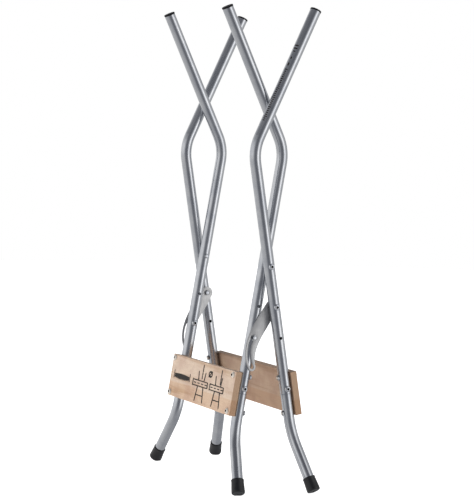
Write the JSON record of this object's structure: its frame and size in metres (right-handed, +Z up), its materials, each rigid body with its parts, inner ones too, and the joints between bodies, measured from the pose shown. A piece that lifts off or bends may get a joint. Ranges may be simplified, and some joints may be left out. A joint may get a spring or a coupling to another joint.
{
  "type": "folding sawhorse",
  "caption": "Folding log sawhorse: crossed bent tube legs on scissor pivots, plywood cross boards, slotted stays and rubber feet.",
  "frame": {"origin": "on the floor, in the middle of the sawhorse's box as it stands closed", "axes": "X along the two boards, Y in the direction the feet spread (the outer frame's feet and the rear board are towards +Y), +Z up"},
  "size_m": [0.553, 0.2294, 1.0851],
  "materials": {
    "zinc_tube": "satin silver zinc-plated steel tube",
    "zinc_plate": "satin zinc-plated sheet steel",
    "zinc_fasteners": "bright zinc-plated steel",
    "beech_plywood": "sanded beech plywood, thin clear coat",
    "black_rubber": "matt moulded rubber",
    "black_plastic": "moulded polyethylene"
  },
  "bodies": {
    "outer_frame": {"outer_right_upper_tube": "zinc_tube", "outer_right_foot_tube": "zinc_tube", "outer_right_rubber_foot": "black_rubber", "outer_right_top_plug": "black_plastic", "outer_left_upper_tube": "zinc_tube", "outer_left_foot_tube": "zinc_tube", "outer_left_rubber_foot": "black_rubber", "outer_left_top_plug": "black_plastic", "outer_joint_bolts": "zinc_fasteners", "outer_joint_nuts": "zinc_fasteners", "rear_board": "beech_plywood", "rear_board_bolts": "zinc_fasteners", "rear_board_nuts": "zinc_fasteners", "right_pivot_bolt": "zinc_fasteners", "right_pivot_nut": "zinc_fasteners", "right_pivot_spacer": "zinc_fasteners", "right_stay_bolt": "zinc_fasteners", "right_stay_nut": "zinc_fasteners", "left_pivot_bolt": "zinc_fasteners", "left_pivot_nut": "zinc_fasteners", "left_pivot_spacer": "zinc_fasteners", "left_stay_bolt": "zinc_fasteners", "left_stay_nut": "zinc_fasteners"},
    "inner_frame": {"inner_right_upper_tube": "zinc_tube", "inner_right_foot_tube": "zinc_tube", "inner_right_rubber_foot": "black_rubber", "inner_right_top_plug": "black_plastic", "inner_left_upper_tube": "zinc_tube", "inner_left_foot_tube": "zinc_tube", "inner_left_rubber_foot": "black_rubber", "inner_left_top_plug": "black_plastic", "inner_joint_bolts": "zinc_fasteners", "inner_joint_nuts": "zinc_fasteners", "front_board": "beech_plywood", "front_board_bolts": "zinc_fasteners", "front_board_nuts": "zinc_fasteners", "right_slot_bolt": "zinc_fasteners", "right_slot_nut": "zinc_fasteners", "right_slot_washer": "zinc_fasteners", "left_slot_bolt": "zinc_fasteners", "left_slot_nut": "zinc_fasteners", "left_slot_washer": "zinc_fasteners"},
    "right_stay_arm": {"right_stay": "zinc_plate"},
    "left_stay_arm": {"left_stay": "zinc_plate"}
  },
  "joints": [
    {"name": "frame_fold", "type": "hinge", "parent": "outer_frame", "child": "inner_frame", "pos_m": [0, 0, 0.505], "axis": [-1, 0, 0], "range_deg": [0, 42]},
    {"name": "right_stay_swing", "type": "hinge", "parent": "outer_frame", "child": "right_stay_arm", "pos_m": [0.176, 0.01547, 0.414], "axis": [-1, 0, 0], "range_deg": [0, 67.5]},
    {"name": "left_stay_swing", "type": "hinge", "parent": "outer_frame", "child": "left_stay_arm", "pos_m": [-0.176, 0.01547, 0.414], "axis": [-1, 0, 0], "range_deg": [0, 67.5]}
  ],
  "couplings": [
    {"joint": "right_stay_swing", "follows": "frame_fold", "ratio": 1.6},
    {"joint": "left_stay_swing", "follows": "frame_fold", "ratio": 1.6}
  ]
}
